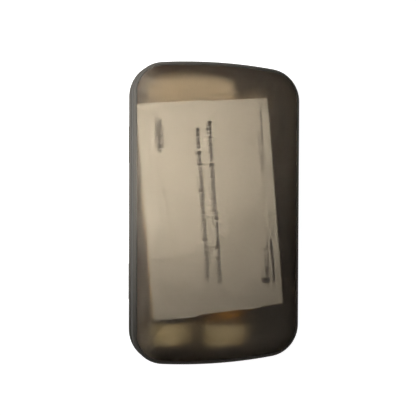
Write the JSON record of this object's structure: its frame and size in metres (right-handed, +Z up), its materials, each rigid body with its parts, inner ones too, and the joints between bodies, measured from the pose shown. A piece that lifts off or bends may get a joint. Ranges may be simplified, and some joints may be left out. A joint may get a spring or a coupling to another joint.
{
  "type": "blood glucose meter kit",
  "caption": "Smoked clear hinged case with a tray holding a blood glucose meter, a lancing device, strip vials, spare lancets and a booklet held inside the lid.",
  "frame": {"origin": "centre of the closed case's flat underside", "axes": "+X across the case away from the hinge, +Y along the case, +Z up out of the lid"},
  "size_m": [0.1156, 0.2006, 0.042],
  "materials": {
    "smoked_base": "smoked translucent",
    "smoked_lid": "smoked translucent, frosted inside",
    "pin_steel": "drawn wire",
    "tray_sheet": "moulded",
    "meter_white": "satin",
    "meter_grey": "fine texture",
    "meter_grey_door": "fine texture",
    "battery_jacket": "printed film",
    "contact_steel": "plated",
    "screw_steel": "zinc plated",
    "window_clear": "polished",
    "lcd_glass": "polished",
    "frame_black": "moulded",
    "board_green": "solder mask",
    "connector_black": "moulded",
    "bezel_cream": "satin",
    "ejector_cream": "ribbed",
    "button_blue": "satin",
    "button_grey_left": "satin",
    "button_grey_right": "satin",
    "pad_rubber": "moulded silicone",
    "lancer_upper": "satin",
    "lancer_lower": "satin",
    "dial_white": "fluted",
    "cap_amber": "translucent",
    "sleeve_grey": "grooved",
    "carriage_white": "moulded",
    "trigger_green": "satin",
    "spring_steel": "drawn wire",
    "lancet_blue": "moulded",
    "lancets_dark": "moulded",
    "lancet_caps_dark": "moulded",
    "cover_card": "coated",
    "pages_paper": "uncoated",
    "leaflet_paper": "uncoated",
    "staple_steel": "wire",
    "tab_clear": "clear film",
    "left_vial_body": "satin",
    "left_vial_cap": "ribbed",
    "left_vial_label": "coated",
    "left_vial_liner": "desiccant",
    "left_vial_strips": "laminate",
    "right_vial_body": "satin",
    "right_vial_cap": "ribbed",
    "right_vial_label": "coated",
    "right_vial_liner": "desiccant",
    "right_vial_strips": "laminate"
  },
  "bodies": {
    "base": {"case_base": "smoked_base", "hinge_pins": "pin_steel", "tray": "tray_sheet", "meter_front_case": "meter_white", "meter_rear_case": "meter_grey", "batteries": "battery_jacket", "battery_contacts": "contact_steel", "rear_screws": "screw_steel", "display_window": "window_clear", "lcd_panel": "lcd_glass", "lcd_frame": "frame_black", "circuit_board": "board_green", "strip_connector": "connector_black", "strip_port_bezel": "bezel_cream", "button_pad": "pad_rubber", "lancing_body_upper": "lancer_upper", "lancing_body_lower": "lancer_lower", "left_vial_body": "left_vial_body", "left_vial_label": "left_vial_label", "left_vial_liner": "left_vial_liner", "left_vial_strips": "left_vial_strips", "right_vial_body": "right_vial_body", "right_vial_label": "right_vial_label", "right_vial_liner": "right_vial_liner", "right_vial_strips": "right_vial_strips", "spare_lancets": "lancets_dark", "lancet_caps": "lancet_caps_dark", "drive_spring": "spring_steel"},
    "lid": {"case_lid": "smoked_lid", "booklet_cover": "cover_card", "booklet_pages": "pages_paper", "booklet_staples": "staple_steel", "folded_leaflet": "leaflet_paper", "adhesive_tab": "tab_clear"},
    "door": {"battery_door": "meter_grey_door"},
    "ejector": {"strip_ejector": "ejector_cream"},
    "ok_key": {"ok_button": "button_blue"},
    "left_key": {"left_button": "button_grey_left"},
    "right_key": {"right_button": "button_grey_right"},
    "lancer_cap": {"nose_cap": "cap_amber"},
    "dial": {"depth_dial": "dial_white"},
    "sleeve": {"cocking_sleeve": "sleeve_grey"},
    "carriage": {"lancet_carriage": "carriage_white", "loaded_lancet": "lancet_blue"},
    "trigger": {"trigger_button": "trigger_green"},
    "left_cap": {"left_vial_cap": "left_vial_cap"},
    "right_cap": {"right_vial_cap": "right_vial_cap"}
  },
  "joints": [
    {"name": "lid_hinge", "type": "hinge", "parent": "base", "child": "lid", "pos_m": [-0.0558, 0, 0.0257], "axis": [0, -1, 0], "range_deg": [0, 110]},
    {"name": "ok_press", "type": "slide", "parent": "base", "child": "ok_key", "axis": [0, 0, -1], "range_m": [0, 0.0007], "stiffness_N_per_m": 500, "springref_m": -0.0006},
    {"name": "left_press", "type": "slide", "parent": "base", "child": "left_key", "axis": [0, 0, -1], "range_m": [0, 0.0007], "stiffness_N_per_m": 500, "springref_m": -0.0006},
    {"name": "right_press", "type": "slide", "parent": "base", "child": "right_key", "axis": [0, 0, -1], "range_m": [0, 0.0007], "stiffness_N_per_m": 500, "springref_m": -0.0006},
    {"name": "ejector_slide", "type": "slide", "parent": "base", "child": "ejector", "axis": [0, 1, 0], "range_m": [0, 0.0035], "stiffness_N_per_m": 150, "springref_m": -0.001},
    {"name": "battery_door_slide", "type": "slide", "parent": "base", "child": "door", "axis": [0, -1, 0], "range_m": [0, 0.006]},
    {"name": "nose_cap_pull", "type": "slide", "parent": "base", "child": "lancer_cap", "axis": [0, 1, 0], "range_m": [0, 0.007]},
    {"name": "depth_turn", "type": "hinge", "parent": "base", "child": "dial", "pos_m": [0.031, 0.056, 0.016], "axis": [0, 1, 0], "range_deg": [-60, 60]},
    {"name": "cocking_pull", "type": "slide", "parent": "base", "child": "sleeve", "axis": [0, -1, 0], "range_m": [0, 0.006], "stiffness_N_per_m": 120, "springref_m": -0.003, "deforming": ["drive_spring"]},
    {"name": "carriage_slide", "type": "slide", "parent": "base", "child": "carriage", "axis": [0, -1, 0], "range_m": [0, 0.006]},
    {"name": "trigger_press", "type": "slide", "parent": "base", "child": "trigger", "axis": [0, 0, -1], "range_m": [0, 0.001], "stiffness_N_per_m": 600, "springref_m": -0.0006},
    {"name": "left_cap_turn", "type": "hinge", "parent": "base", "child": "left_cap", "pos_m": [-0.0308, -0.0791, 0.0199], "axis": [0, -1, 0], "range_deg": [0, 90]},
    {"name": "right_cap_turn", "type": "hinge", "parent": "base", "child": "right_cap", "pos_m": [0.0082, -0.0818, 0.0199], "axis": [0, -1, 0], "range_deg": [0, 90]}
  ],
  "couplings": [
    {"joint": "carriage_slide", "follows": "cocking_pull", "ratio": 1}
  ]
}
